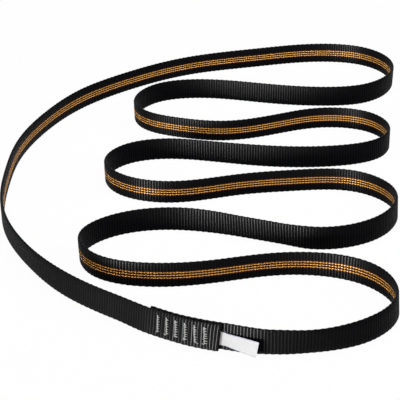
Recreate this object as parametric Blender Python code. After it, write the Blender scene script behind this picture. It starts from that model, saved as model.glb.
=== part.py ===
"""A sewn climbing sling: one long flat tape, lapped on itself and closed by six bar tacks.

The loop stands on its edge and is laid out in four lobes. The front is towards -Y, up is +Z,
and the origin is on the ground under the middle of the part. Lengths are in metres.
"""

import math

import bpy
import numpy as np
from mathutils import Matrix

# Driving dimensions of the laid-out loop and of the tape

LAID_WIDTH = 0.308
LAID_DEPTH = 0.522
TAPE_WIDTH = 0.016
TAPE_THICKNESS = 0.0021
SELVEDGE_CHAMFER = 0.0006

# The lap where the two ends of the tape are sewn together

LAP_LENGTH = 0.0493
LAYER_GAP = 0.00045
LAP_BLEND = 0.028
LAP_LEAN = math.radians(9)
CUT_END_SHARE = -0.004

# Bar tacks: a needle thread on the front layer and a bobbin thread behind the back one

TACK_COUNT = 6
TACK_MARGIN = 0.0086
TACK_PITCH = 0.0063
TACK_WIDTH = 0.0022
TACK_HEIGHT = 0.0107
TACK_FOOT = 0.0032
TACK_ROWS = 20
NEEDLE_THREAD = 0.00034
BOBBIN_THREAD = 0.0003
THREAD_CLEARANCE = 0.0003

# The folded cloth label, whose root is held between the layers

LABEL_HEIGHT = 0.0083
LABEL_FOOT = 0.0030
LABEL_REACH = 0.0247
LABEL_ROOT_LENGTH = 0.0155
LABEL_CLOTH = 0.00022
LABEL_FOLD_GAP = 0.00016
LABEL_CLEARANCE = 0.0003
LABEL_BELLY = 0.0003
LABEL_SPLAY = math.radians(14)
LABEL_DROOP = math.radians(4)
HINGE_STANDOFF = 0.0011

# How finely the tape is faceted

LONGEST_STEP = 0.014
LAP_STEP = 0.0045
TURN_PER_STEP = math.radians(9)
SPLINE_STEP = 0.001

# The middle of the tape, clockwise from the left: shares of the laid width and depth, and how far
# the top edge leans out of the loop as a share of the tape's width

ROUTE_SHARES = [
    (-0.500, -0.019, 0.00), (-0.490, 0.075, 0.00), (-0.435, 0.196, -0.02), (-0.350, 0.295, 0.02),
    (-0.242, 0.366, -0.03), (-0.061, 0.443, -0.03), (0.126, 0.479, 0.04), (0.308, 0.500, 0.06),
    (0.424, 0.482, 0.05), (0.497, 0.395, 0.05), (0.395, 0.296, 0.00), (0.306, 0.287, 0.02),
    (0.128, 0.306, -0.07), (-0.030, 0.329, -0.02), (-0.149, 0.313, 0.00), (-0.208, 0.229, -0.03),
    (-0.179, 0.192, -0.02), (-0.092, 0.160, -0.02), (0.023, 0.145, -0.03), (0.170, 0.173, 0.00),
    (0.264, 0.193, 0.05), (0.389, 0.176, 0.05), (0.434, 0.115, 0.02), (0.405, 0.072, 0.00),
    (0.280, 0.041, -0.03), (0.126, 0.044, -0.06), (-0.025, 0.066, 0.02), (-0.126, 0.076, -0.03),
    (-0.221, 0.057, -0.02), (-0.267, 0.001, -0.03), (-0.226, -0.053, 0.04), (-0.121, -0.080, 0.02),
    (0.048, -0.058, -0.03), (0.187, -0.045, 0.00), (0.316, -0.049, 0.00), (0.399, -0.105, -0.02),
    (0.353, -0.199, -0.05), (0.200, -0.231, 0.00), (0.135, -0.217, 0.14), (0.059, -0.197, 0.13),
    (-0.078, -0.169, -0.06), (-0.233, -0.186, 0.00), (-0.300, -0.239, -0.06), (-0.266, -0.301, 0.04),
    (-0.151, -0.330, 0.06), (-0.008, -0.322, -0.02), (0.133, -0.304, -0.04), (0.309, -0.338, 0.11),
    (0.349, -0.415, -0.05), (0.292, -0.469, -0.02), (0.169, -0.500, 0.15), (0.099, -0.501, 0.04),
    (0.035, -0.495, -0.06), (-0.010, -0.487, -0.12), (-0.064, -0.474, -0.15), (-0.121, -0.454, -0.15),
    (-0.184, -0.426, -0.09), (-0.307, -0.361, -0.07), (-0.418, -0.264, 0.05), (-0.480, -0.168, 0.03),
]

# Colours: black tape, grey thread, white cloth

TAPE_COLOUR = (0.012, 0.012, 0.013, 1)
THREAD_COLOUR = (0.40, 0.41, 0.39, 1)
CLOTH_COLOUR = (0.82, 0.82, 0.83, 1)


def clear_scene():
    for thing in list(bpy.data.objects):
        bpy.data.objects.remove(thing, do_unlink=True)


def new_collection(name):
    collection = bpy.data.collections.new(name)
    bpy.context.scene.collection.children.link(collection)
    return collection


def new_material(name, colour, roughness):
    material = bpy.data.materials.new(name)
    material.use_nodes = True
    shader = material.node_tree.nodes["Principled BSDF"]
    shader.inputs["Base Color"].default_value = colour
    shader.inputs["Roughness"].default_value = roughness
    shader.inputs["Metallic"].default_value = 0
    return material


def smoothstep(share):
    share = np.clip(share, 0, 1)
    return share * share * (3 - 2 * share)


# The route of the loop's middle line

def closed_spline(points):
    """Samples of a smooth closed curve through the points, about a spline step apart."""
    before, after = np.roll(points, 1, 0), np.roll(points, -1, 0)
    ahead = np.linalg.norm(after - points, axis=1)
    behind = np.roll(ahead, 1)
    count = len(points)
    matrix = np.zeros((count, count))
    for i in range(count):
        matrix[i, i - 1] += 1 / behind[i]
        matrix[i, i] += 2 * (1 / behind[i] + 1 / ahead[i])
        matrix[i, (i + 1) % count] += 1 / ahead[i]
    pull = 3 * ((points - before) / behind[:, None] ** 2 + (after - points) / ahead[:, None] ** 2)
    slopes = np.linalg.solve(matrix, pull)
    samples, knots = [], []
    for i in range(count):
        j = (i + 1) % count
        t = np.linspace(0, 1, math.ceil(ahead[i] / SPLINE_STEP), endpoint=False)[:, None]
        samples.append(
            (1 + 2 * t) * (1 - t) ** 2 * points[i]
            + t * (1 - t) ** 2 * ahead[i] * slopes[i]
            + t * t * (3 - 2 * t) * points[j]
            + t * t * (t - 1) * ahead[i] * slopes[j]
        )
        knots.append(i + t[:, 0])
    return np.vstack(samples), np.concatenate(knots)


class Route:
    """The loop's middle line by its length along it, and the tape's lean there."""

    def __init__(self):
        shares = np.array(ROUTE_SHARES)
        line, knots = closed_spline(shares[:, :2] * (LAID_WIDTH, LAID_DEPTH))
        whole = knots.astype(int)
        part = smoothstep(knots - whole)
        lean = shares[:, 2] * TAPE_WIDTH
        self.lean = lean[whole] * (1 - part) + np.roll(lean, -1)[whole] * part
        self.line = line
        steps = np.linalg.norm(np.roll(line, -1, 0) - line, axis=1)
        self.along = np.concatenate([[0], np.cumsum(steps)[:-1]])
        self.length = steps.sum()
        direction = np.roll(line, -1, 0) - np.roll(line, 1, 0)
        self.heading = np.unwrap(np.arctan2(direction[:, 1], direction[:, 0]))
        self.turn = self.heading[-1] + self.wrapped_step() - self.heading[0]

    def wrapped_step(self):
        step = self.heading[0] - self.heading[-1]
        return (step + math.pi) % (2 * math.pi) - math.pi

    def read(self, values, along, turn=0.0):
        """Values at lengths along the route, which may lie outside one lap of it."""
        laps, rest = np.divmod(along, self.length)
        knots = np.append(self.along, self.length)
        return np.interp(rest, knots, np.append(values, values[0] + turn)) + laps * turn

    def point(self, along, out=0.0):
        """A plan point, and how far out of the loop it is moved."""
        heading = self.read(self.heading, along, self.turn)
        x = self.read(self.line[:, 0], along) - out * np.sin(heading)
        y = self.read(self.line[:, 1], along) + out * np.cos(heading)
        return np.stack([x, y], -1)

    def tilt(self, along):
        """The angle that the top edge leans by, into the loop."""
        return -np.arcsin(self.read(self.lean, along) / TAPE_WIDTH)

    def bend(self, along):
        """How sharply the route turns, in radians a metre."""
        reach = 3 * SPLINE_STEP
        ahead = self.read(self.heading, along + reach, self.turn)
        behind = self.read(self.heading, along - reach, self.turn)
        return np.abs(ahead - behind) / (2 * reach)


# The lap: lengths are measured from the cut end of the front layer, along the tape

def cut_end_along(route):
    """Where on the route the front layer's cut end lies: on the front run, at its share of the width."""
    front = route.line[:, 1] < -LAID_DEPTH / 3
    miss = np.abs(route.line[:, 0] - CUT_END_SHARE * LAID_WIDTH)
    return route.along[np.where(front, miss, LAID_WIDTH).argmin()]


def layer_gap(along_lap):
    """The gap between the layers, which opens for the label's root towards the cut end."""
    held = label_root_thickness() + 2 * LABEL_CLEARANCE
    share = smoothstep((along_lap - LABEL_ROOT_LENGTH) / LABEL_ROOT_LENGTH)
    return held + (LAYER_GAP - held) * share


def layer_offset(along_lap):
    """How far a layer's middle stands from the middle of the lap."""
    return (TAPE_THICKNESS + layer_gap(np.clip(along_lap, 0, LAP_LENGTH))) / 2


def front_offset(along_lap):
    return layer_offset(along_lap) * (1 - smoothstep((along_lap - LAP_LENGTH) / LAP_BLEND))


def back_offset(along_lap):
    return -layer_offset(along_lap) * (1 - smoothstep(-along_lap / LAP_BLEND))


def lap_fade(along_lap):
    """One in the lap, where both layers have the lap's own lean, and none away from it."""
    outside = np.maximum(-along_lap, along_lap - LAP_LENGTH)
    return 1 - smoothstep(outside / LAP_BLEND)


def label_root_thickness():
    return 2 * LABEL_CLOTH + LABEL_FOLD_GAP


def standing_rise(tilt):
    """The height of the tape's middle where its foot is on the ground."""
    edge_half = TAPE_THICKNESS / 2 - SELVEDGE_CHAMFER
    return TAPE_WIDTH / 2 * np.cos(tilt) + edge_half * np.abs(np.sin(tilt))


def lap_places(route, along, offset, stand, height):
    """Places in the lap: so far up the leaning tape, standing off the middle of the layer at the offset."""
    climb = height - TAPE_WIDTH / 2
    out = offset / math.cos(LAP_LEAN) + stand * math.cos(LAP_LEAN) - climb * math.sin(LAP_LEAN)
    rise = standing_rise(LAP_LEAN) + stand * math.sin(LAP_LEAN) + climb * math.cos(LAP_LEAN)
    return np.column_stack([route.point(along, out), np.broadcast_to(rise, len(along))])


# Building tools

def section_guide(name, width, height, chamfer, guides):
    """A flat upright section with cut corners, as the guide that a strip is swept with."""
    x, y = width / 2, height / 2
    corners = [(-x, y), (x, y), (x, -y), (-x, -y)]
    if chamfer:
        corners = [
            (-x, y - chamfer), (-x + chamfer, y), (x - chamfer, y), (x, y - chamfer),
            (x, chamfer - y), (x - chamfer, -y), (chamfer - x, -y), (-x, chamfer - y),
        ]
    outline = bpy.data.curves.new(name, "CURVE")
    outline.dimensions = "2D"
    spline = outline.splines.new("POLY")
    spline.points.add(len(corners) - 1)
    spline.use_cyclic_u = True
    for point, corner in zip(spline.points, corners):
        point.co = (*corner, 0, 1)
    guide = bpy.data.objects.new(name, outline)
    guide.hide_render = True
    guide.display_type = "WIRE"
    guides.objects.link(guide)
    return guide


def new_curve(name, places, tilts, collection, material):
    """A curve object through the places, upright but for its tilts."""
    curve = bpy.data.curves.new(name, "CURVE")
    curve.dimensions = "3D"
    curve.twist_mode = "Z_UP"
    curve.use_fill_caps = True
    spline = curve.splines.new("POLY")
    spline.points.add(len(places) - 1)
    for point, place, tilt in zip(spline.points, places, tilts):
        point.co = (*place, 1)
        point.tilt = tilt
    curve.materials.append(material)
    thing = bpy.data.objects.new(name, curve)
    collection.objects.link(thing)
    return thing


def strip(name, places, tilts, guide, collection, material):
    """A flat strip swept along the places."""
    thing = new_curve(name, places, tilts, collection, material)
    thing.data.bevel_mode = "OBJECT"
    thing.data.bevel_object = guide
    return thing


# The tape

def tape_stations(route, start):
    """Lengths along the tape from its cut front end to its hidden back end, closer in the turns."""
    fine = np.linspace(0, route.length + LAP_LENGTH, 6000)
    lap = np.where(fine < route.length / 2, fine, fine - route.length)
    crowding = 1 / LONGEST_STEP + route.bend(start + fine) / TURN_PER_STEP
    crowding += lap_fade(lap) / LAP_STEP
    steps = np.concatenate([[0], np.cumsum((crowding[1:] + crowding[:-1]) / 2 * np.diff(fine))])
    count = math.ceil(steps[-1])
    return np.interp(np.linspace(0, steps[-1], count + 1), steps, fine)


def tape_path(route, start, stations):
    """The tape's middle line, the outward offset included, with its tilt."""
    along = start + stations
    first_half = stations < route.length / 2
    lap = np.where(first_half, stations, stations - route.length)
    offset = np.where(first_half, front_offset(lap), back_offset(lap))
    tilt = route.tilt(along) + (LAP_LEAN - route.tilt(along)) * lap_fade(lap)
    return np.column_stack([route.point(along, offset / np.cos(tilt)), standing_rise(tilt)]), tilt


def make_webbing(route, start, parts, guides, material):
    guide = section_guide("tape_section", TAPE_THICKNESS, TAPE_WIDTH, SELVEDGE_CHAMFER, guides)
    places, tilts = tape_path(route, start, tape_stations(route, start))
    return strip("webbing", places, tilts, guide, parts, material)


# The bar tacks

def tack_thread(route, start, from_end, thread, offset, side):
    """One bar tack's thread: rows to and fro across the tack, climbing from its foot to its head."""
    stand = side * (TAPE_THICKNESS / 2 + THREAD_CLEARANCE + thread / 2)
    rows = np.repeat(np.linspace(0, 1, TACK_ROWS), 2)
    sides = np.tile([-1, 1, 1, -1], TACK_ROWS // 2)
    lap = LAP_LENGTH - from_end + sides * (TACK_WIDTH - thread) / 2
    height = TACK_FOOT + thread / 2 + rows * (TACK_HEIGHT - thread)
    return lap_places(route, start + lap, offset, stand, height)


def make_tacks(route, start, parts, material):
    for i in range(TACK_COUNT):
        from_end = TACK_MARGIN + i * TACK_PITCH
        offset = layer_offset(LAP_LENGTH - from_end)
        for name, thread, side in (("needle", NEEDLE_THREAD, 1), ("bobbin", BOBBIN_THREAD, -1)):
            places = tack_thread(route, start, from_end, thread, side * offset, side)
            tilts = np.zeros(len(places))
            tack = new_curve(f"bar_tack_{i + 1}_{name}_thread", places, tilts, parts, material)
            tack.data.twist_mode = "MINIMUM"
            tack.data.bevel_depth = thread / 2
            tack.data.bevel_resolution = 1


# The label

def make_label_root(route, start, parts, guides, material):
    """The part of the label that the lap holds: both leaves of the cloth, pressed together."""
    thickness = label_root_thickness()
    guide = section_guide("label_root_section", thickness, LABEL_HEIGHT, 0, guides)
    inner_end = -(HINGE_STANDOFF - LABEL_CLEARANCE)
    lap = np.linspace(inner_end, LABEL_ROOT_LENGTH, math.ceil(LABEL_ROOT_LENGTH / LAP_STEP) + 1)
    middle = LABEL_FOOT + LABEL_HEIGHT / 2 + (lap + HINGE_STANDOFF) * math.tan(LABEL_DROOP)
    places = lap_places(route, start + lap, 0, 0, middle)
    return strip("label_root", places, np.full(len(lap), LAP_LEAN), guide, parts, material)


def label_outline():
    """The flap from above, hinge at the origin and reaching along +X: out, round the fold and back."""
    half = (LABEL_FOLD_GAP + LABEL_CLOTH) / 2
    length = LABEL_REACH - HINGE_STANDOFF
    share = np.linspace(0, 1, 9)
    fold_radius = half + LABEL_BELLY / 2
    leaf_x = share * (length - fold_radius - LABEL_CLOTH / 2)
    leaf_y = half + LABEL_BELLY * smoothstep(2 * share) * (1 - smoothstep(2 * share - 1) / 2)
    turn = np.linspace(math.pi / 2, -math.pi / 2, 7)[1:-1]
    fold_x = leaf_x[-1] + fold_radius * np.cos(turn)
    fold_y = fold_radius * np.sin(turn)
    x = np.concatenate([leaf_x, fold_x, leaf_x[::-1]])
    y = np.concatenate([leaf_y, fold_y, -leaf_y[::-1]])
    return x, y


def label_hinge(route, start):
    """Where the flap is at rest: origin on the axis it folds about, which leans and droops with it."""
    middle = LABEL_FOOT + LABEL_HEIGHT / 2
    place = lap_places(route, np.array([start - HINGE_STANDOFF]), 0, 0, middle)[0]
    away = route.point(start - 2 * HINGE_STANDOFF) - route.point(start)
    facing = Matrix.Rotation(math.atan2(away[1], away[0]), 4, "Z")
    leaning = Matrix.Rotation(-LAP_LEAN, 4, "X")
    drooping = Matrix.Rotation(LABEL_DROOP, 4, "Y")
    splayed = Matrix.Rotation(-LABEL_SPLAY, 4, "Z")
    return Matrix.Translation(place) @ facing @ leaning @ drooping @ splayed


def make_label_flap(route, start, parts, guides, material):
    guide = section_guide("label_cloth_section", LABEL_CLOTH, LABEL_HEIGHT, 0, guides)
    x, y = label_outline()
    places = np.column_stack([x, y, np.zeros(len(x))])
    flap = strip("label_flap", places, np.zeros(len(x)), guide, parts, material)
    flap.matrix_world = label_hinge(route, start)
    return flap


# Laying the part out about its origin

def centre_route(route):
    """Moves the route so that the part's box, label included, is centred on the origin."""
    start = cut_end_along(route)
    low = route.line.min(0) - TAPE_THICKNESS / 2
    high = route.line.max(0) + TAPE_THICKNESS / 2
    x, y = label_outline()
    foot = np.full(len(x), -LABEL_HEIGHT / 2)
    flap = np.column_stack([x, y, foot, np.ones(len(x))]) @ np.array(label_hinge(route, start)).T
    low[1] = min(low[1], flap[:, 1].min())
    route.line -= (low + high) / 2
    return start


def least_gap(route, start):
    """The least free distance between stretches of the tape that aren't neighbours."""
    stations = np.arange(0, route.length + LAP_LENGTH, 3 * SPLINE_STEP)
    places = tape_path(route, start, stations)[0][:, :2]
    least = LAID_WIDTH
    for i, place in enumerate(places):
        far = np.abs(stations - stations[i]) > LAP_LENGTH
        least = min(least, np.linalg.norm(places[far] - place, axis=1).min())
    return least - TAPE_THICKNESS


def main():
    clear_scene()
    parts = new_collection("climbing_sling")
    guides = new_collection("guides")
    tape = new_material("black_tape", TAPE_COLOUR, 0.8)
    thread = new_material("grey_thread", THREAD_COLOUR, 0.6)
    cloth = new_material("white_cloth", CLOTH_COLOUR, 0.7)
    route = Route()
    start = centre_route(route)
    make_webbing(route, start, parts, guides, tape)
    make_tacks(route, start, parts, thread)
    make_label_root(route, start, parts, guides, cloth)
    make_label_flap(route, start, parts, guides, cloth)
    print(f"loop {route.length:.4f} m, least gap of the tape to itself {least_gap(route, start):.5f} m")


main()
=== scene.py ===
"""The looks of a sewn climbing sling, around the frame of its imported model.

The tape is one ribbed ribbon with a woven stripe on its inner face, the bar tacks are stitched
thread, and the label is folded cloth. The front is towards -Y, up is +Z, lengths are in metres.
"""

import math

import bpy
import numpy as np
from mathutils import Matrix, Vector


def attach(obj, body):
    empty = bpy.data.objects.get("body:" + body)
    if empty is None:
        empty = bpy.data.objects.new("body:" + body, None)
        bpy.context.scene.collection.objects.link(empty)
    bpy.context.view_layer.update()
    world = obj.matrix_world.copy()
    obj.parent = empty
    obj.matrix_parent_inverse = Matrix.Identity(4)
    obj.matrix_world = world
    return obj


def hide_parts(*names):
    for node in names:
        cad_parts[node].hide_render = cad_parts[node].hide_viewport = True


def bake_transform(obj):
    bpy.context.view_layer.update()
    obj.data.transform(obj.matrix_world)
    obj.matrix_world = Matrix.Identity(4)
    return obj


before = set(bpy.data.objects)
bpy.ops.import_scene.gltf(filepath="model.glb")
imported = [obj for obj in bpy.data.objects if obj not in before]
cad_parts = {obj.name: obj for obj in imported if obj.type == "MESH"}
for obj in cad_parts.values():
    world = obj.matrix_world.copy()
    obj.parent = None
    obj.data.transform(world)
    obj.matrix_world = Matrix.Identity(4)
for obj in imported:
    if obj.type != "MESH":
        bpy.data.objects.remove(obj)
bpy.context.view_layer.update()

# Driving dimensions of the part, as in its own source

LAID_WIDTH = 0.308
LAID_DEPTH = 0.522
TAPE_WIDTH = 0.016
TAPE_THICKNESS = 0.0021
SELVEDGE_CHAMFER = 0.0006
LAP_LENGTH = 0.0493
LAYER_GAP = 0.00045
LAP_BLEND = 0.028
LAP_LEAN = math.radians(9)
CUT_END_SHARE = -0.004
TACK_COUNT = 6
TACK_MARGIN = 0.0086
TACK_PITCH = 0.0063
TACK_WIDTH = 0.0022
TACK_HEIGHT = 0.0107
TACK_FOOT = 0.0032
LABEL_HEIGHT = 0.0083
LABEL_FOOT = 0.0030
LABEL_REACH = 0.0247
LABEL_ROOT_LENGTH = 0.0155
LABEL_CLOTH = 0.00022
LABEL_FOLD_GAP = 0.00016
LABEL_CLEARANCE = 0.0003
LABEL_BELLY = 0.0003
LABEL_SPLAY = math.radians(14)
LABEL_DROOP = math.radians(4)
HINGE_STANDOFF = 0.0011
OUTLINE_SAMPLES = 9
FOLD_SAMPLES = 7
SPLINE_STEP = 0.001

# The middle of the tape, clockwise from the left: shares of the laid width and depth, and how far
# the top edge leans out of the loop as a share of the tape's width

ROUTE_SHARES = [
    (-0.500, -0.019, 0.00), (-0.490, 0.075, 0.00), (-0.435, 0.196, -0.02), (-0.350, 0.295, 0.02),
    (-0.242, 0.366, -0.03), (-0.061, 0.443, -0.03), (0.126, 0.479, 0.04), (0.308, 0.500, 0.06),
    (0.424, 0.482, 0.05), (0.497, 0.395, 0.05), (0.395, 0.296, 0.00), (0.306, 0.287, 0.02),
    (0.128, 0.306, -0.07), (-0.030, 0.329, -0.02), (-0.149, 0.313, 0.00), (-0.208, 0.229, -0.03),
    (-0.179, 0.192, -0.02), (-0.092, 0.160, -0.02), (0.023, 0.145, -0.03), (0.170, 0.173, 0.00),
    (0.264, 0.193, 0.05), (0.389, 0.176, 0.05), (0.434, 0.115, 0.02), (0.405, 0.072, 0.00),
    (0.280, 0.041, -0.03), (0.126, 0.044, -0.06), (-0.025, 0.066, 0.02), (-0.126, 0.076, -0.03),
    (-0.221, 0.057, -0.02), (-0.267, 0.001, -0.03), (-0.226, -0.053, 0.04), (-0.121, -0.080, 0.02),
    (0.048, -0.058, -0.03), (0.187, -0.045, 0.00), (0.316, -0.049, 0.00), (0.399, -0.105, -0.02),
    (0.353, -0.199, -0.05), (0.200, -0.231, 0.00), (0.135, -0.217, 0.14), (0.059, -0.197, 0.13),
    (-0.078, -0.169, -0.06), (-0.233, -0.186, 0.00), (-0.300, -0.239, -0.06), (-0.266, -0.301, 0.04),
    (-0.151, -0.330, 0.06), (-0.008, -0.322, -0.02), (0.133, -0.304, -0.04), (0.309, -0.338, 0.11),
    (0.349, -0.415, -0.05), (0.292, -0.469, -0.02), (0.169, -0.500, 0.15), (0.099, -0.501, 0.04),
    (0.035, -0.495, -0.06), (-0.010, -0.487, -0.12), (-0.064, -0.474, -0.15), (-0.121, -0.454, -0.15),
    (-0.184, -0.426, -0.09), (-0.307, -0.361, -0.07), (-0.418, -0.264, 0.05), (-0.480, -0.168, 0.03),
]

# The points of the tape's section: shares of half its width beside the stripe and on the plain outer
# face, counts of gold cords in the stripe, and a share of half its thickness at the rims

INNER_POINT_SHARES = (0.91, 0.62)
OUTER_POINT_SHARES = (0.91, 0.5)
STRIPE_POINT_CORDS = (1.6, 1, 0.5)
RIM_SHARE = 0.43

# The ribs: how deep the groove is at each step along a rib, and how that depth varies in two slow
# waves, each an angle for every rib; and the bumps along the selvedges at every second rib

RIB_PITCH = 0.00205
RIB_STEPS = 4
GROOVE_SHARES = (1, 0.3, 0, 0.3)
RIB_DEPTH = 0.00026
RIB_VARIES = 0.25
RIB_WAVES = (2.4, 0.9)
LAP_RIBS_DEEPER = 0.25
BUMP_RIBS = 2
BUMP_HEIGHT = 0.00026
COUNT_ROUNDING = 0.01

# The stripe on the inner face: three gold cords with rust ones between them. Their places are counted
# from well below the tape, so that none is negative

STRIPE_HALF = 0.0030
STRIPE_FADE_SHARE = 0.92
STRIPE_GROOVE_SHARE = 0.4
GOLD_PITCH = 0.00178
GOLD_CORDS = (-1, 0, 1)
RUST_CORDS = (-0.5, 0.5)
GOLD_RELIEF = 0.00014
RUST_RELIEF = 0.00008
GOLD_SWAY = 0.00010
GOLD_TILT = 0.00018
GOLD_SLIM = 0.00020
GOLD_FULL = 0.00029
GOLD_EDGE = (-0.00006, 0.00008)
GOLD_COUNTED_FROM = -8 * GOLD_PITCH
GOLD_LUSTRE = 0.06

# The map for baking: its bands, their margins, and the size and place of the two cut ends

MAP_BANDS = 8
MAP_MARGIN = 0.03
MAP_END_SIZE = 0.08
MAP_END_PLACE = 0.1

# The front layer's cut end is a little askew, and its top leans on the layer behind

CUT_END_REACH = 0.010
CUT_END_SLANT = 0.0011
CUT_END_NOD = 0.0009
CUT_END_NOD_RISE = 0.004

# The stitching pulls the sewn faces in and gathers their ribs: how much, how far to each side as a
# share of the tack's width, and how soon that fades at the foot and at the head

TACK_PULL = 0.00040
PULL_REACH_SHARE = 0.7
TACK_GATHER = 0.4
GATHER_REACH_SHARE = 1.2
PULL_BELOW_FOOT = 0.0015
PULL_BELOW_HEAD = 0.001
PULL_FADE = 0.0025

# The needle and bobbin threads, with the side of the lap that each is on, and the tack's slant

THREADS = (("needle", 0.00042, 1), ("bobbin", 0.00030, -1))
TACK_CYCLES = 7
TACK_SLANT = 0.075

# Places across the tack, as shares of half its width, left being positive: the straight passes, and
# the zigzag's left turns and right tips, which swell by a share of their own and unevenly

STEM_SHARES = (0.75, 0.25)
TURN_SHARES = (0.5, 0.5, 1.0, 0.9, 0.5, 1.0)
TIP_SHARE = -1.45
SWELL_SHARES = (0.0, 0.05, 0.25, 0.1, 0.0, 0.3)
SWELL_VARIES = 0.12
SWELL_WAVE = 2.3

# Places up the zigzag, as shares of its pitch: the left turn, the tip, and the middle crossings going
# out and coming back, which are measured from half the tip's rise

TURN_RISE_SHARE = 0.9
TIP_RISE_SHARE = 0.5
TIP_RISE_VARIES = 0.15
TIP_RISE_WAVE = 1.7
OUT_RISE_SHARE = 0.28
BACK_RISE_SHARE = 0.08

# How far each stretch of thread stands proud of the seat, in thread widths

STEM_PROUD = 0.1
TAIL_PROUD = 0.2
TURN_PROUD = 0.6
CROSSING_PROUD = 1.0
TIP_PROUD = 1.2

# The loose end at each tack's foot, in millimetres to the left and up

MILLIMETRE = 0.001
TACK_TAILS = (
    ((0.6, 0.0), (1.3, -0.5)),
    ((0.9, -0.4), (1.7, -0.5), (2.1, 0.3)),
    ((1.2, 0.3), (1.3, 1.0), (0.5, 1.4)),
    ((0.9, -0.5), (1.5, -0.2), (1.3, 0.7), (0.5, 0.5)),
    ((-0.3, -0.2), (-1.1, -0.3), (-2.0, -0.6)),
    ((0.9, -0.1), (1.6, -0.5), (1.9, 0.2)),
)

# The label's cloth: a little taller than its solid, cut round at the corners, pinched at the root
# and twisted along its reach; and how finely it is meshed

CLOTH_HEIGHT = 0.0089
LABEL_CORNER = 0.0004
LABEL_PINCH = 0.08
LABEL_NEAR_LEAN = math.radians(-11)
LABEL_FAR_LEAN = math.radians(12)
LABEL_TWIST_START = 0.0025
LABEL_COLUMNS = 13
LABEL_ROOT_ROWS = 9
LABEL_LEAF_ROWS = 25

# Colours, each from the groove of a rib, or the low side of a weave, to its crest. For the gold,
# rust, thread and cloth colours the darker low end is painted shade, and the gold's bright crest is
# painted highlight

BLACK = ((0.0012, 0.0012, 0.0017, 1), (0.0012, 0.0012, 0.0015, 1))
LEFT_GOLD = ((0.48, 0.21, 0.058, 1), (0.78, 0.43, 0.155, 1))
RIGHT_GOLD = ((0.50, 0.235, 0.030, 1), (0.80, 0.45, 0.085, 1))
RUST = ((0.020, 0.0038, 0.0003, 1), (0.044, 0.009, 0.0006, 1))
THREAD_GREY = ((0.30, 0.30, 0.295, 1), (0.80, 0.81, 0.78, 1))
CLOTH_WHITE = ((0.80, 0.80, 0.81, 1), (0.86, 0.86, 0.86, 1))
CLOTH_EDGE = (0.62, 0.60, 0.70, 1)
FLOOR_GREY = (0.6, 0.6, 0.6, 1)

# The tape's colour: where along the rise from groove to crest each change starts and ends, and over
# # which part of a rib's length the gold turns from its left flank to its right one. The gold and
# rust
# # rise from painted shade in the grooves to painted light on the crests

RIDGE_RISE = (0.45, 0.95)
LUSTRE_RISE = (0.55, 0.95)
GOLD_SWELL_RISE = (0.0, 0.8)
GOLD_PAINTED_LIGHT_RISE = (0.1, 0.85)
GOLD_FLANK_TURN = (0.3, 0.7)
RUST_PAINTED_LIGHT_RISE = (0.2, 0.8)
INNER_FACE_RISE = (0.5, 0.9)

# Noise in the black yarns: its scales, and how it is multiplied and raised where it breaks the crests

BLOTCH_SCALE = 45.0
BLOTCH_RISE = (0.3, 0.7)
BLOTCH_SHARES = (0.6, 0.5)
FIBRE_SCALE = 2500.0
FIBRE_SHARES = (0.9, 0.45)
FIBRE_BUMP_SHARE = 0.25

# The tape's gloss in the grooves and on the crests, its spread, its sheen, and the yarns' bump; the
# # grooves' darker specular tint is painted shade on the gloss

GROOVE_ROUGHNESS = 0.95
CREST_ROUGHNESS = 0.45
GROOVE_SHADE_TINT = (0.25, 0.25, 0.25, 1)
CREST_TINT = (1, 1, 1, 1)
GLOSS_LEVEL = 0.05
GLOSS_SPREAD = 0.8
QUARTER_TURN = 0.25
TAPE_SHEEN = 0.08
SHEEN_ROUGHNESS = 0.3
YARN_PITCH = 0.00055
YARN_ROUND = 0.00003

# The finish of the threads and of the label's weave, whose low sides are painted darker as painted
# # shade, and where the label's edges darken, as shares of its height from the middle

THREAD_LAY_SCALE = 900.0
THREAD_LAY_DISTORTION = 1.5
THREAD_LAY_DEPTH = 0.00005
THREAD_LAY_STRENGTH = 0.6
THREAD_ROUGHNESS = 0.5
THREAD_SHEEN = 0.1
WARP_PITCH = 0.00024
WEFT_PITCH = 0.00030
WEAVE_DEPTH = 0.00001
WEAVE_STRENGTH = 0.5
CLOTH_ROUGHNESS = 0.9
CLOTH_EDGE_SHARES = (0.45, 0.49)

# Camera of the photograph: where it looks on the ground, from how far and how steeply

LOOK_AT = (-0.01293, -0.03884)
CAMERA_DISTANCE = 1.1232
CAMERA_PITCH = math.radians(24.2)
CAMERA_ROLL = math.radians(-0.66)
FOCAL_PIXELS = 1561
FRAME_PIXELS = 400
SENSOR = 36

# The studio. The floor lies a little under the bumps of the tape's lower selvedge. Each soft box has
# its azimuth, 0 in front of the object and 90 on its right, its elevation, distance, size and watts

FLOOR_LEVEL = -0.0008
FLOOR_HALF = 6
FLOOR_ROUGHNESS = 0.9
FLOOR_WHITE_SHARE = 0.97
WORLD_LIGHT = 0.25
LEFT_BOX = (-42, 18, 4.5, (1.5, 1.5), 100)
RIGHT_BOX = (75, 30, 1.7, (0.7, 0.9), 22)
TOP_BOX = (0, 86.4, 0.8, (0.9, 0.3), 5)
LEFT_GLINT = (-37, 5, 3.0, (1.3, 0.5), 1950)

def smoothstep(share):
    share = np.clip(share, 0, 1)
    return share * share * (3 - 2 * share)


# The route of the loop's middle line

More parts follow.
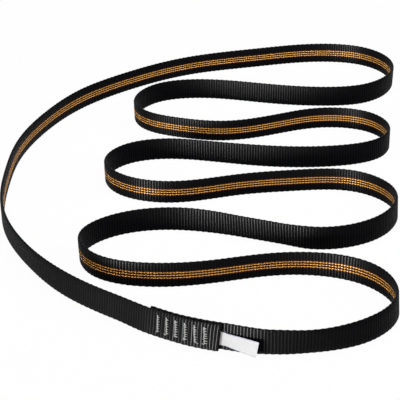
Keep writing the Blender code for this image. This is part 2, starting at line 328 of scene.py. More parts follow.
def closed_spline(points):
    """Samples of a smooth closed curve through the points, about a spline step apart."""
    before, after = np.roll(points, 1, 0), np.roll(points, -1, 0)
    ahead = np.linalg.norm(after - points, axis=1)
    behind = np.roll(ahead, 1)
    count = len(points)
    matrix = np.zeros((count, count))
    for i in range(count):
        matrix[i, i - 1] += 1 / behind[i]
        matrix[i, i] += 2 * (1 / behind[i] + 1 / ahead[i])
        matrix[i, (i + 1) % count] += 1 / ahead[i]
    pull = 3 * ((points - before) / behind[:, None] ** 2 + (after - points) / ahead[:, None] ** 2)
    slopes = np.linalg.solve(matrix, pull)
    samples, knots = [], []
    for i in range(count):
        j = (i + 1) % count
        t = np.linspace(0, 1, math.ceil(ahead[i] / SPLINE_STEP), endpoint=False)[:, None]
        samples.append(
            (1 + 2 * t) * (1 - t) ** 2 * points[i]
            + t * (1 - t) ** 2 * ahead[i] * slopes[i]
            + t * t * (3 - 2 * t) * points[j]
            + t * t * (t - 1) * ahead[i] * slopes[j]
        )
        knots.append(i + t[:, 0])
    return np.vstack(samples), np.concatenate(knots)


class Route:
    """The loop's middle line by its length along it, and the tape's lean there."""

    def __init__(self):
        shares = np.array(ROUTE_SHARES)
        line, knots = closed_spline(shares[:, :2] * (LAID_WIDTH, LAID_DEPTH))
        whole = knots.astype(int)
        part = smoothstep(knots - whole)
        lean = shares[:, 2] * TAPE_WIDTH
        self.lean = lean[whole] * (1 - part) + np.roll(lean, -1)[whole] * part
        self.line = line
        steps = np.linalg.norm(np.roll(line, -1, 0) - line, axis=1)
        self.along = np.concatenate([[0], np.cumsum(steps)[:-1]])
        self.length = steps.sum()
        direction = np.roll(line, -1, 0) - np.roll(line, 1, 0)
        self.heading = np.unwrap(np.arctan2(direction[:, 1], direction[:, 0]))
        step = self.heading[0] - self.heading[-1]
        step = (step + math.pi) % (2 * math.pi) - math.pi
        self.turn = self.heading[-1] + step - self.heading[0]

    def read(self, values, along, turn=0.0):
        """Values at lengths along the route, which may lie outside one lap of it."""
        laps, rest = np.divmod(along, self.length)
        knots = np.append(self.along, self.length)
        return np.interp(rest, knots, np.append(values, values[0] + turn)) + laps * turn

    def point(self, along, out=0.0):
        """A plan point, and how far out of the loop it is moved."""
        heading = self.read(self.heading, along, self.turn)
        x = self.read(self.line[:, 0], along) - out * np.sin(heading)
        y = self.read(self.line[:, 1], along) + out * np.cos(heading)
        return np.stack([x, y], -1)

    def tilt(self, along):
        """The angle that the top edge leans by, into the loop."""
        return -np.arcsin(self.read(self.lean, along) / TAPE_WIDTH)


# The lap: lengths are measured from the cut end of the front layer, along the tape

def cut_end_along(route):
    """Where on the route the front layer's cut end lies."""
    front = route.line[:, 1] < -LAID_DEPTH / 3
    miss = np.abs(route.line[:, 0] - CUT_END_SHARE * LAID_WIDTH)
    return route.along[np.where(front, miss, LAID_WIDTH).argmin()]


def label_root_thickness():
    return 2 * LABEL_CLOTH + LABEL_FOLD_GAP


def layer_gap(along_lap):
    """The gap between the layers, which opens for the label's root towards the cut end."""
    held = label_root_thickness() + 2 * LABEL_CLEARANCE
    share = smoothstep((along_lap - LABEL_ROOT_LENGTH) / LABEL_ROOT_LENGTH)
    return held + (LAYER_GAP - held) * share


def layer_offset(along_lap):
    """How far a layer's middle stands from the middle of the lap."""
    return (TAPE_THICKNESS + layer_gap(np.clip(along_lap, 0, LAP_LENGTH))) / 2


def front_offset(along_lap):
    return layer_offset(along_lap) * (1 - smoothstep((along_lap - LAP_LENGTH) / LAP_BLEND))


def back_offset(along_lap):
    return -layer_offset(along_lap) * (1 - smoothstep(-along_lap / LAP_BLEND))


def lap_fade(along_lap):
    """One in the lap, where both layers have the lap's own lean, and none away from it."""
    outside = np.maximum(-along_lap, along_lap - LAP_LENGTH)
    return 1 - smoothstep(outside / LAP_BLEND)


def standing_rise(tilt):
    """The height of the tape's middle where its foot is on the ground."""
    edge_half = TAPE_THICKNESS / 2 - SELVEDGE_CHAMFER
    return TAPE_WIDTH / 2 * np.cos(tilt) + edge_half * np.abs(np.sin(tilt))


def lap_places(route, along, offset, stand, height):
    """Places in the lap: so far up the leaning tape, and standing off the layer at the offset."""
    climb = height - TAPE_WIDTH / 2
    out = offset / math.cos(LAP_LEAN) + stand * math.cos(LAP_LEAN) - climb * math.sin(LAP_LEAN)
    rise = standing_rise(LAP_LEAN) + stand * math.sin(LAP_LEAN) + climb * math.cos(LAP_LEAN)
    return np.column_stack([route.point(along, out), np.broadcast_to(rise, len(along))])


def label_outline(samples=OUTLINE_SAMPLES):
    """The flap's middle lines from above, hinge at the origin: out, round the fold and back."""
    half = (LABEL_FOLD_GAP + LABEL_CLOTH) / 2
    length = LABEL_REACH - HINGE_STANDOFF
    share = np.linspace(0, 1, samples)
    fold_radius = half + LABEL_BELLY / 2
    leaf_x = share * (length - fold_radius - LABEL_CLOTH / 2)
    leaf_y = half + LABEL_BELLY * smoothstep(2 * share) * (1 - smoothstep(2 * share - 1) / 2)
    turn = np.linspace(math.pi / 2, -math.pi / 2, FOLD_SAMPLES)[1:-1]
    fold_x = leaf_x[-1] + fold_radius * np.cos(turn)
    fold_y = fold_radius * np.sin(turn)
    x = np.concatenate([leaf_x, fold_x, leaf_x[::-1]])
    y = np.concatenate([leaf_y, fold_y, -leaf_y[::-1]])
    return x, y


def label_hinge(route, start):
    """Where the flap is at rest: its origin is on the axis it folds about, which leans with it."""
    middle = LABEL_FOOT + LABEL_HEIGHT / 2
    place = lap_places(route, np.array([start - HINGE_STANDOFF]), 0, 0, middle)[0]
    away = route.point(start - 2 * HINGE_STANDOFF) - route.point(start)
    facing = Matrix.Rotation(math.atan2(away[1], away[0]), 4, "Z")
    leaning = Matrix.Rotation(-LAP_LEAN, 4, "X")
    drooping = Matrix.Rotation(LABEL_DROOP, 4, "Y")
    splayed = Matrix.Rotation(-LABEL_SPLAY, 4, "Z")
    return Matrix.Translation(place) @ facing @ leaning @ drooping @ splayed


def centre_route(route):
    """Moves the route as in the part's source, where its box is centred on the origin."""
    start = cut_end_along(route)
    low = route.line.min(0) - TAPE_THICKNESS / 2
    high = route.line.max(0) + TAPE_THICKNESS / 2
    x, y = label_outline()
    foot = np.full(len(x), -LABEL_HEIGHT / 2)
    flap = np.column_stack([x, y, foot, np.ones(len(x))]) @ np.array(label_hinge(route, start)).T
    low[1] = min(low[1], flap[:, 1].min())
    shift = -(low + high) / 2
    route.line += shift
    return start, shift


# Mesh tools

def new_mesh(name, points, faces, material, attributes=None):
    mesh = bpy.data.meshes.new(name)
    mesh.from_pydata(points.tolist(), [], faces)
    mesh.materials.append(material)
    mesh.shade_smooth()
    for key, values in (attributes or {}).items():
        attribute = mesh.attributes.new(key, "FLOAT", "POINT")
        attribute.data.foreach_set("value", np.ascontiguousarray(values, np.float32).ravel())
    thing = bpy.data.objects.new(name, mesh)
    bpy.context.scene.collection.objects.link(thing)
    return thing


def ring_faces(rows, columns):
    """Quads of a closed tube of rings, with both ends capped."""
    row, column = np.meshgrid(np.arange(rows - 1), np.arange(columns), indexing="ij")
    across = (column + 1) % columns
    a, b = row * columns + column, row * columns + across
    quads = np.stack([a, b, b + columns, a + columns], -1).reshape(-1, 4)
    last = (rows - 1) * columns
    caps = [list(range(columns))[::-1], [last + i for i in range(columns)]]
    return quads.tolist() + caps


def grid_faces(rows, columns):
    """Quads of an open sheet of rows."""
    faces = []
    for row in range(rows - 1):
        for column in range(columns - 1):
            corner = row * columns + column
            faces.append([corner, corner + 1, corner + 1 + columns, corner + columns])
    return faces


def fold_map(thing, rows, columns, section):
    """Lays a closed strip's surface out in even bands, one above the other, in a map for baking."""
    steps = np.linalg.norm(np.roll(section, -1, 0) - section, axis=1)
    around = np.concatenate([[0], np.cumsum(steps)]) / steps.sum()
    around = MAP_MARGIN + (1 - 2 * MAP_MARGIN) * around
    each = math.ceil((rows - 1) / MAP_BANDS)
    row, column = np.meshgrid(np.arange(rows - 1), np.arange(columns), indexing="ij")
    band = row // each
    left, right = (row - band * each) / each, (row - band * each + 1) / each
    low, high = [(band + around[column + step]) / (MAP_BANDS + 1) for step in (0, 1)]
    corners = [(left, low), (left, high), (right, high), (right, low)]
    quads = np.stack([np.stack(corner, -1) for corner in corners], 2).reshape(-1, 2)
    place = (MAP_END_PLACE, (MAP_BANDS + 0.5) / (MAP_BANDS + 1))
    end = section / np.ptp(section, axis=0).max() * MAP_END_SIZE + place
    every = np.concatenate([quads, end[::-1], end + (2 * MAP_END_PLACE, 0)])
    layer = thing.data.uv_layers.new(name="OFBake")
    layer.data.foreach_set("uv", every.astype(np.float32).ravel())


# The tape

def tape_section():
    """The tape's outline round one rib, as seen along it: how far out of the loop, and how far up."""
    half, edge = TAPE_THICKNESS / 2, TAPE_WIDTH / 2
    stripe = np.array(STRIPE_POINT_CORDS) * GOLD_PITCH
    beside = np.array(INNER_POINT_SHARES) * edge
    inner = np.concatenate([-beside, -stripe, [0], stripe[::-1], beside[::-1]])
    plain = np.array(OUTER_POINT_SHARES) * edge
    outer = np.concatenate([plain, -plain[::-1]])
    rim = np.array([-RIM_SHARE, RIM_SHARE]) * half
    out = np.concatenate([np.full(len(inner), -half), rim, np.full(len(outer), half), -rim])
    up = np.concatenate([inner, [edge, edge], outer, [-edge, -edge]])
    return out, up


def weave_depth(stations, rib, up, on_face, inner):
    """How far the weave lies under the tape's faces: down in the grooves and at the rust cords."""
    groove = np.array(GROOVE_SHARES)[np.round(rib * RIB_STEPS).astype(int) % RIB_STEPS][:, None]
    count = np.floor(rib + COUNT_ROUNDING)
    uneven = RIB_VARIES * np.sin(RIB_WAVES[0] * count) * np.sin(RIB_WAVES[1] * count + 1)
    depth = RIB_DEPTH * (1 + uneven) * (1 + LAP_RIBS_DEEPER * (stations < LAP_LENGTH))
    cord = np.round(up / GOLD_PITCH, 2)
    in_stripe = inner & (np.abs(up) < STRIPE_HALF)
    sink = np.where(on_face, depth[:, None] * np.where(in_stripe, STRIPE_GROOVE_SHARE, 1), 0) * groove
    sink = sink + np.where(inner & np.isin(cord, RUST_CORDS), RUST_RELIEF, 0)
    return sink - np.where(inner & np.isin(cord, GOLD_CORDS), GOLD_RELIEF, 0) * (1 - groove)


def stitch_pull(lap, height):
    """How far the tacks pull a sewn face in, and how far they draw its ribs along towards them."""
    inward, towards = np.zeros_like(height), np.zeros_like(height)
    reach = smoothstep((height - TACK_FOOT + PULL_BELOW_FOOT) / PULL_FADE)
    head = TACK_FOOT + TACK_HEIGHT
    reach = reach * (1 - smoothstep((height - head + PULL_BELOW_HEAD) / PULL_FADE))
    for i in range(TACK_COUNT):
        beside = (lap - (LAP_LENGTH - TACK_MARGIN - i * TACK_PITCH))[:, None]
        near = np.exp(-((beside / (PULL_REACH_SHARE * TACK_WIDTH)) ** 2)) * reach
        inward = inward + TACK_PULL * near
        drawn = np.exp(-((beside / (GATHER_REACH_SHARE * TACK_WIDTH)) ** 2)) * reach
        towards = towards + TACK_GATHER * beside * drawn
    return inward, towards


def make_tape_mesh(route, start, material):
    """The tape from the front cut end round to the back one, with its middle line and length."""
    total = route.length + LAP_LENGTH
    stations = np.append(np.arange(0, total, RIB_PITCH / RIB_STEPS), total)
    rib = stations / RIB_PITCH - 1 / RIB_STEPS
    first_half = stations < route.length / 2
    lap = np.where(first_half, stations, stations - route.length)
    offset = np.where(first_half, front_offset(lap), back_offset(lap))
    along = start + stations
    tilt = route.tilt(along) + (LAP_LEAN - route.tilt(along)) * lap_fade(lap)
    rise = standing_rise(tilt)

    # Each ring's points: how far out of the loop, through the tape, and how far up it
    out, up = tape_section()
    on_face = np.isclose(np.abs(out), TAPE_THICKNESS / 2)
    inner = on_face & (out < 0)
    bump = 0.5 - 0.5 * np.cos(2 * math.pi * rib / BUMP_RIBS)[:, None]
    through = np.sign(out) * (np.abs(out) - weave_depth(stations, rib, up, on_face, inner))
    upward = up + np.where(on_face, 0, BUMP_HEIGHT) * np.sign(up) * (0.5 + bump)

    # The stitches pull the outer faces of both layers in, and gather the ribs beside them
    in_front = (stations < LAP_LENGTH)[:, None] & (out > 0)
    in_back = (stations > route.length)[:, None] & (out < 0)
    inward, towards = stitch_pull(lap, upward + TAPE_WIDTH / 2)
    through = through - np.where(in_front | in_back, np.sign(out) * inward, 0)
    shift = -np.where(in_front | in_back, towards, 0)

    # The front layer's cut end is askew, and nods above the label
    near_end = np.where(stations < LAP_LENGTH, 1 - smoothstep(stations / CUT_END_REACH), 0)[:, None]
    shift = shift + CUT_END_SLANT * near_end * (0.5 - upward / TAPE_WIDTH)
    over_label = upward + TAPE_WIDTH / 2 - LABEL_FOOT - LABEL_HEIGHT
    through = through - CUT_END_NOD * near_end * smoothstep(over_label / CUT_END_NOD_RISE)

    away = offset / np.cos(tilt)
    lean_cos, lean_sin = np.cos(tilt)[:, None], np.sin(tilt)[:, None]
    plan = route.point(along[:, None] + shift, away[:, None] + through * lean_cos - upward * lean_sin)
    height = rise[:, None] + through * lean_sin + upward * lean_cos
    points = np.concatenate([plan, np.maximum(height, FLOOR_LEVEL / 2)[..., None]], -1)
    attributes = {
        "rib": np.broadcast_to(rib[:, None], height.shape),
        "across": np.broadcast_to(up[None, :], height.shape),
        "inner": np.broadcast_to(np.where(inner, 1.0, 0.0)[None, :], height.shape),
    }
    faces = ring_faces(len(stations), len(out))
    tape = new_mesh("tape", points.reshape(-1, 3), faces, material, attributes)
    fold_map(tape, len(stations), len(out), np.column_stack([out, up]))
    middle = np.column_stack([route.point(along, away), rise])
    return tape, middle, total


# The bar tacks

def tack_thread(route, start, tack, side, thread):
    """A tack's thread: its loose end, two straight passes, then a zigzag down over them."""
    centre = LAP_LENGTH - TACK_MARGIN - tack * TACK_PITCH
    half = (TACK_WIDTH - thread) / 2
    foot, head = TACK_FOOT + thread / 2, TACK_FOOT + TACK_HEIGHT - thread / 2
    pitch = (head - foot) / TACK_CYCLES
    trail = []
    for beside, rise in TACK_TAILS[tack][::-1]:
        trail.append((beside * MILLIMETRE, foot + rise * MILLIMETRE, TAIL_PROUD))
    for i, share in enumerate(STEM_SHARES):
        ends = (foot, head) if i % 2 == 0 else (head, foot)
        trail += [(share * half, end, STEM_PROUD) for end in ends]
    for i in reversed(range(TACK_CYCLES)):
        low = foot + i * pitch
        swell = 1 + SWELL_SHARES[tack] * (1 - i / TACK_CYCLES)
        swell = swell + SWELL_VARIES * math.sin(SWELL_WAVE * i + tack)
        rise = (TIP_RISE_SHARE + TIP_RISE_VARIES * math.sin(TIP_RISE_WAVE * i + 2 * tack)) * pitch
        trail += [
            (TURN_SHARES[tack] * half * swell, low + TURN_RISE_SHARE * pitch, TURN_PROUD),
            (0, low + rise / 2 + OUT_RISE_SHARE * pitch, CROSSING_PROUD),
            (TIP_SHARE * half * swell, low + rise, TIP_PROUD),
            (0, low + rise / 2 + BACK_RISE_SHARE * pitch, CROSSING_PROUD),
        ]
    trail.append((TURN_SHARES[tack] * half, foot, TURN_PROUD))
    beside, height, proud = np.array(trail).T
    beside = beside + TACK_SLANT * (height - TAPE_WIDTH / 2)
    seat = side * (TAPE_THICKNESS / 2 - TACK_PULL / 2 + thread / 2)
    stand = seat + side * proud * thread
    return lap_places(route, start + centre + beside, side * layer_offset(centre), stand, height)


def make_thread(name, points, thread, material):
    curve = bpy.data.curves.new(name, "CURVE")
    curve.dimensions = "3D"
    curve.bevel_depth = thread / 2
    curve.bevel_resolution = 1
    curve.use_fill_caps = True
    spline = curve.splines.new("POLY")
    spline.points.add(len(points) - 1)
    for point, place in zip(spline.points, points):
        point.co = (*place, 1)
    curve.materials.append(material)
    thing = bpy.data.objects.new(name, curve)
    bpy.context.scene.collection.objects.link(thing)
    return thing


# The label

def root_rows(route, start, across, side):
    """Rows of one leaf in the lap, from its deep end out to the hinge."""
    stand = -side * (LABEL_FOLD_GAP + LABEL_CLOTH) / 2
    rows = []
    for lap in np.linspace(LABEL_ROOT_LENGTH, -HINGE_STANDOFF / 2, LABEL_ROOT_ROWS):
        height = LABEL_FOOT + LABEL_HEIGHT / 2 + across * CLOTH_HEIGHT * (1 - LABEL_PINCH)
        height = height + (lap + HINGE_STANDOFF) * math.tan(LABEL_DROOP)
        rows.append(lap_places(route, np.full(len(across), start + lap), 0, stand, height))
    return rows


def flap_rows(hinge, across):
    """Rows of the flap: out along one leaf, round the fold and back along the other."""
    x, y = label_outline(LABEL_LEAF_ROWS)
    turn = np.array(hinge)
    rows = []
    for i in range(1, len(x) - 1):
        share = x[i] / LABEL_REACH
        lean = LABEL_NEAR_LEAN * smoothstep(x[i] / LABEL_TWIST_START)
        lean = lean + (LABEL_FAR_LEAN - LABEL_NEAR_LEAN) * share
        short = max(LABEL_CORNER - (x.max() - x[i]), 0)
        cut = LABEL_CORNER - math.sqrt(LABEL_CORNER ** 2 - short ** 2)
        tall = CLOTH_HEIGHT * (1 - LABEL_PINCH * (1 - share)) - 2 * cut
        place = np.column_stack([
            np.full(len(across), x[i]),
            y[i] + across * tall * math.sin(lean),
            across * tall * math.cos(lean),
            np.ones(len(across)),
        ])
        rows.append((place @ turn.T)[:, :3])
    return rows


def make_label_mesh(route, start, hinge, material):
    """Both leaves of the label, from the end held in the lap, out to the fold and back."""
    across = np.linspace(-0.5, 0.5, LABEL_COLUMNS)
    front_root, back_root = [root_rows(route, start, across, side) for side in (1, -1)]
    points = np.array(front_root + flap_rows(hinge, across) + back_root[::-1])
    count, columns = points.shape[:2]
    steps = np.linalg.norm(np.diff(points[:, columns // 2], axis=0), axis=1)
    lengths = np.concatenate([[0], np.cumsum(steps)])
    attributes = {
        "across": np.broadcast_to(across[None, :] * CLOTH_HEIGHT, (count, columns)),
        "along": np.broadcast_to(lengths[:, None], (count, columns)),
    }
    faces = grid_faces(count, columns)
    label = new_mesh("label", points.reshape(-1, 3), faces, material, attributes)
    solid = label.modifiers.new("cloth", "SOLIDIFY")
    solid.thickness = LABEL_CLOTH
    solid.offset = 0
    return label


# Materials

class Nodes:
    """A small helper that builds one material's node tree."""

    def __init__(self, name):
        self.material = bpy.data.materials.new(name)
        self.material.use_nodes = True
        self.tree = self.material.node_tree
        self.shader = self.tree.nodes["Principled BSDF"]

    def add(self, kind, **settings):
        node = self.tree.nodes.new(kind)
        for key, value in settings.items():
            setattr(node, key, value)
        return node

    def put(self, value, socket):
        if isinstance(value, bpy.types.NodeSocket):
            self.tree.links.new(value, socket)
        else:
            socket.default_value = value

    def math(self, operation, a, b=0.0, c=0.0):
        node = self.add("ShaderNodeMath", operation=operation)
        for value, socket in zip((a, b, c), node.inputs):
            self.put(value, socket)
        return node.outputs[0]

    def step(self, value, low, high):
        """0 below low and 1 above high, with a smooth rise between; low may be the larger."""
        node = self.add("ShaderNodeMapRange", interpolation_type="SMOOTHSTEP")
        self.put(value, node.inputs["Value"])
        node.inputs["From Min"].default_value = low
        node.inputs["From Max"].default_value = high
        return node.outputs["Result"]

    def mix(self, share, a, b):
        node = self.add("ShaderNodeMix", data_type="RGBA")
        self.put(share, node.inputs["Factor"])
        self.put(a, node.inputs["A"])
        self.put(b, node.inputs["B"])
        return node.outputs["Result"]

    def attribute(self, name):
        return self.add("ShaderNodeAttribute", attribute_name=name).outputs["Fac"]

    def noise(self, scale, vector):
        node = self.add("ShaderNodeTexNoise")
        node.inputs["Scale"].default_value = scale
        self.put(vector, node.inputs["Vector"])
        return node.outputs["Fac"]

    def object_place(self):
        return self.add("ShaderNodeTexCoord").outputs["Object"]

    def bump(self, height, distance, strength=1.0):
        node = self.add("ShaderNodeBump")
        node.inputs["Strength"].default_value = strength
        node.inputs["Distance"].default_value = distance
        self.put(height, node.inputs["Height"])
        self.put(node.outputs["Normal"], self.shader.inputs["Normal"])


def tape_material():
    nodes = Nodes("black_ribbed_tape")
    rib, across, inner = nodes.attribute("rib"), nodes.attribute("across"), nodes.attribute("inner")
    place = nodes.object_place()
    phase = nodes.math("FRACT", rib)
    off_crest = nodes.math("ABSOLUTE", nodes.math("MULTIPLY_ADD", phase, 2.0, -1.0))
    crest = nodes.math("SUBTRACT", 1.0, off_crest)
    blotch = nodes.noise(BLOTCH_SCALE, place)
    fibre = nodes.noise(FIBRE_SCALE, place)

    # The black yarns' crests are broken up by fibres and by larger blotches
    fibres = nodes.math("MULTIPLY_ADD", fibre, *FIBRE_SHARES)
    blotches = nodes.math("MULTIPLY_ADD", nodes.step(blotch, *BLOTCH_RISE), *BLOTCH_SHARES)
    ridge = nodes.math("MULTIPLY", nodes.step(crest, *RIDGE_RISE), fibres)
    black = nodes.mix(nodes.math("MULTIPLY", ridge, blotches), *BLACK)

    # The gold cords sway from rib to rib and swell over each; their left flanks are pinker. The gold
    # and
    # # rust cords are painted darker in the grooves, which is painted shade, and lighter on the
    # crests, which
    # # is painted highlight
    to_and_fro = nodes.math("COSINE", nodes.math("MULTIPLY", rib, math.pi))
    sway = nodes.math("MULTIPLY", to_and_fro, GOLD_SWAY)
    past_crest = nodes.math("SUBTRACT", phase, 0.5)
    aslant = nodes.math("MULTIPLY_ADD", past_crest, -GOLD_TILT, -GOLD_COUNTED_FROM)
    beside_gold = nodes.math("ADD", nodes.math("ADD", across, sway), aslant)
    from_gold = nodes.math("PINGPONG", beside_gold, GOLD_PITCH / 2)
    swell = nodes.step(crest, *GOLD_SWELL_RISE)
    full = nodes.math("MULTIPLY_ADD", swell, GOLD_FULL - GOLD_SLIM, GOLD_SLIM)
    gold = nodes.step(nodes.math("SUBTRACT", full, from_gold), *GOLD_EDGE)
    painted_bead_light = nodes.step(crest, *GOLD_PAINTED_LIGHT_RISE)
    left_to_right = nodes.step(phase, *GOLD_FLANK_TURN)
    gold_colour = nodes.mix(left_to_right, nodes.mix(painted_bead_light, *LEFT_GOLD), nodes.mix(painted_bead_light, *RIGHT_GOLD))
    rust_colour = nodes.mix(nodes.step(crest, *RUST_PAINTED_LIGHT_RISE), *RUST)
    stripe_colour = nodes.mix(gold, rust_colour, gold_colour)
    off_middle = nodes.math("ABSOLUTE", across)
    in_stripe = nodes.step(off_middle, STRIPE_HALF, STRIPE_FADE_SHARE * STRIPE_HALF)
    in_stripe = nodes.math("MULTIPLY", in_stripe, nodes.step(inner, *INNER_FACE_RISE))
    nodes.put(nodes.mix(in_stripe, black, stripe_colour), nodes.shader.inputs["Base Color"])

    # The yarns that run along the tape are round, and the crests are glossier than the grooves; the
    # # grooves' gloss is also dimmed by a darker tint, which is painted shade
    yarn = nodes.math("SINE", nodes.math("MULTIPLY", across, 2 * math.pi / YARN_PITCH))
    nodes.bump(nodes.math("MULTIPLY_ADD", fibre, FIBRE_BUMP_SHARE, yarn), YARN_ROUND)
    lustre = nodes.step(crest, *LUSTRE_RISE)
    smoother = CREST_ROUGHNESS - GROOVE_ROUGHNESS
    roughness = nodes.math("MULTIPLY_ADD", lustre, smoother, GROOVE_ROUGHNESS)
    nodes.put(roughness, nodes.shader.inputs["Roughness"])
    nodes.put(nodes.mix(lustre, GROOVE_SHADE_TINT, CREST_TINT), nodes.shader.inputs["Specular Tint"])
    nodes.put(nodes.math("MULTIPLY", in_stripe, GOLD_LUSTRE), nodes.shader.inputs["Metallic"])
    nodes.shader.inputs["Specular IOR Level"].default_value = GLOSS_LEVEL

    # The round yarns across each rib spread its gloss up and down, and little along the tape
    tangent = nodes.add("ShaderNodeTangent", direction_type="UV_MAP", uv_map="OFBake")
    nodes.put(tangent.outputs[0], nodes.shader.inputs["Tangent"])
    nodes.shader.inputs["Anisotropic"].default_value = GLOSS_SPREAD
    nodes.shader.inputs["Anisotropic Rotation"].default_value = QUARTER_TURN
    nodes.shader.inputs["Sheen Weight"].default_value = TAPE_SHEEN
    nodes.shader.inputs["Sheen Roughness"].default_value = SHEEN_ROUGHNESS
    return nodes.material


def thread_material():
    nodes = Nodes("grey_thread")
    lay_and_painted_shade = nodes.add("ShaderNodeTexWave", wave_type="BANDS", bands_direction="DIAGONAL")
    lay_and_painted_shade.inputs["Scale"].default_value = THREAD_LAY_SCALE
    lay_and_painted_shade.inputs["Distortion"].default_value = THREAD_LAY_DISTORTION
    nodes.put(nodes.object_place(), lay_and_painted_shade.inputs["Vector"])
    # The thread's colour follows its lay: the darker low sides are painted shade
    nodes.put(nodes.mix(lay_and_painted_shade.outputs["Fac"], *THREAD_GREY), nodes.shader.inputs["Base Color"])
    nodes.bump(lay_and_painted_shade.outputs["Fac"], THREAD_LAY_DEPTH, THREAD_LAY_STRENGTH)
    nodes.shader.inputs["Roughness"].default_value = THREAD_ROUGHNESS
    nodes.shader.inputs["Sheen Weight"].default_value = THREAD_SHEEN
    return nodes.material


def label_material():
    nodes = Nodes("white_cloth")
    across, along = nodes.attribute("across"), nodes.attribute("along")
    warp = nodes.math("SINE", nodes.math("MULTIPLY", across, 2 * math.pi / WARP_PITCH))
    weft = nodes.math("SINE", nodes.math("MULTIPLY", along, 2 * math.pi / WEFT_PITCH))
    weave = nodes.math("MULTIPLY", warp, weft)
    edge_start, edge_end = [share * CLOTH_HEIGHT for share in CLOTH_EDGE_SHARES]
    edge = nodes.step(nodes.math("ABSOLUTE", across), edge_start, edge_end)
    # The weave's low sides are painted a little darker, which is painted shade
    cloth = nodes.mix(nodes.math("MULTIPLY_ADD", weave, 0.5, 0.5), *CLOTH_WHITE)
    nodes.put(nodes.mix(edge, cloth, CLOTH_EDGE), nodes.shader.inputs["Base Color"])
    nodes.bump(weave, WEAVE_DEPTH, WEAVE_STRENGTH)
    nodes.shader.inputs["Roughness"].default_value = CLOTH_ROUGHNESS
    nodes.shader.inputs["Specular IOR Level"].default_value = 0.0
    return nodes.material


def floor_material():
    """White to the camera and in reflections, with the object's shadow faintly kept."""
    nodes = Nodes("white_floor")
    nodes.shader.inputs["Base Color"].default_value = FLOOR_GREY
    nodes.shader.inputs["Roughness"].default_value = FLOOR_ROUGHNESS
    rays = nodes.add("ShaderNodeLightPath")
    seen = nodes.math("MAXIMUM", rays.outputs["Is Camera Ray"], rays.outputs["Is Glossy Ray"])
    seen = nodes.math("MAXIMUM", seen, rays.outputs["Is Transmission Ray"])
    white = nodes.add("ShaderNodeEmission")
    white.inputs["Strength"].default_value = 1.0
    mixed = nodes.add("ShaderNodeMixShader")
    nodes.put(nodes.math("MULTIPLY", seen, FLOOR_WHITE_SHARE), mixed.inputs["Fac"])
    nodes.put(nodes.shader.outputs[0], mixed.inputs[1])
    nodes.put(white.outputs[0], mixed.inputs[2])
    nodes.put(mixed.outputs[0], nodes.tree.nodes["Material Output"].inputs["Surface"])
    return nodes.material


# The studio

def make_camera(shift):
    pitch, roll = CAMERA_PITCH, CAMERA_ROLL
    forward = Vector((0, math.cos(pitch), -math.sin(pitch)))
    upward = Vector((0, math.sin(pitch), math.cos(pitch)))
    right = Vector((1, 0, 0))
    x_axis = math.cos(roll) * right + math.sin(roll) * upward
    y_axis = math.cos(roll) * upward - math.sin(roll) * right
    look = Vector((LOOK_AT[0] + shift[0], LOOK_AT[1] + shift[1], 0))
    turn = Matrix((x_axis, y_axis, -forward)).transposed().to_4x4()
    lens = bpy.data.cameras.new("camera")
    lens.sensor_width = SENSOR
    lens.lens = FOCAL_PIXELS / FRAME_PIXELS * SENSOR
    camera = bpy.data.objects.new("camera", lens)
    camera.matrix_world = Matrix.Translation(look - forward * CAMERA_DISTANCE) @ turn
    bpy.context.scene.collection.objects.link(camera)
    bpy.context.scene.camera = camera


def make_light(name, azimuth, elevation, distance, size, watts):
    """A soft box that faces the middle of the object."""
    light = bpy.data.lights.new(name, "AREA")
    light.shape = "RECTANGLE"
    light.size, light.size_y = size
    light.energy = watts
    lamp = bpy.data.objects.new(name, light)
    turn, rise = math.radians(azimuth), math.radians(elevation)
    away = Vector((math.sin(turn) * math.cos(rise), -math.cos(turn) * math.cos(rise), math.sin(rise)))
    lamp.location = away * distance
    lamp.rotation_euler = away.to_track_quat("Z", "Y").to_euler()
    bpy.context.scene.collection.objects.link(lamp)
    return lamp


def make_glint(tape):
    """A soft box that is seen only as gloss, along the ribs of the tape."""
    lamp = make_light("left_glint", *LEFT_GLINT)
    lamp.visible_diffuse = False
    lit = bpy.data.collections.new("ribs")
    lit.objects.link(tape)
    lamp.light_linking.receiver_collection = lit


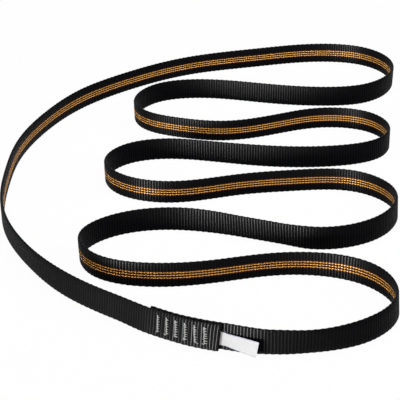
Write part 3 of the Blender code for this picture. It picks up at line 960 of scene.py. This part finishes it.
def make_floor():
    corners = [(-1, -1), (1, -1), (1, 1), (-1, 1)]
    points = np.array([(x * FLOOR_HALF, y * FLOOR_HALF, FLOOR_LEVEL) for x, y in corners])
    floor = new_mesh("floor", points, [[0, 1, 2, 3]], floor_material())


def make_world():
    """White where it is seen or reflected, and a soft even light for the rest."""
    world = bpy.data.worlds.new("studio")
    bpy.context.scene.world = world
    world.use_nodes = True
    tree = world.node_tree
    sky = tree.nodes["Background"]
    rays = tree.nodes.new("ShaderNodeLightPath")
    camera_or_glossy = tree.nodes.new("ShaderNodeMath")
    camera_or_glossy.operation = "MAXIMUM"
    seen = tree.nodes.new("ShaderNodeMath")
    seen.operation = "MAXIMUM"
    tree.links.new(rays.outputs["Is Camera Ray"], camera_or_glossy.inputs[0])
    tree.links.new(rays.outputs["Is Glossy Ray"], camera_or_glossy.inputs[1])
    tree.links.new(camera_or_glossy.outputs[0], seen.inputs[0])
    tree.links.new(rays.outputs["Is Transmission Ray"], seen.inputs[1])
    strength = tree.nodes.new("ShaderNodeMapRange")
    strength.inputs["To Min"].default_value = WORLD_LIGHT
    strength.inputs["To Max"].default_value = 1.0
    tree.links.new(seen.outputs[0], strength.inputs["Value"])
    tree.links.new(strength.outputs[0], sky.inputs["Strength"])
    sky.inputs["Color"].default_value = (1, 1, 1, 1)


def make_studio():
    make_floor()
    make_world()
    make_light("left_box", *LEFT_BOX)
    make_light("right_box", *RIGHT_BOX).visible_glossy = False
    make_light("top_box", *TOP_BOX)
    bpy.context.scene.view_settings.view_transform = "Standard"


# Putting it together

def main():
    route = Route()
    start, shift = centre_route(route)
    make_camera(shift)
    make_studio()

    tape, middle, total = make_tape_mesh(route, start, tape_material())
    make_glint(tape)
    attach(tape, "sling")
    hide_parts("webbing")

    thread = thread_material()
    for i in range(TACK_COUNT):
        for name, size, side in THREADS:
            points = tack_thread(route, start, i, side, size)
            tack = make_thread(f"tack_{i + 1}_{name}", points, size, thread)
            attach(tack, "sling")
            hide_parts(f"bar_tack_{i + 1}_{name}_thread")

    hinge = label_hinge(route, start)
    label = make_label_mesh(route, start, hinge, label_material())
    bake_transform(label)
    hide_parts("label_root", "label_flap")


main()
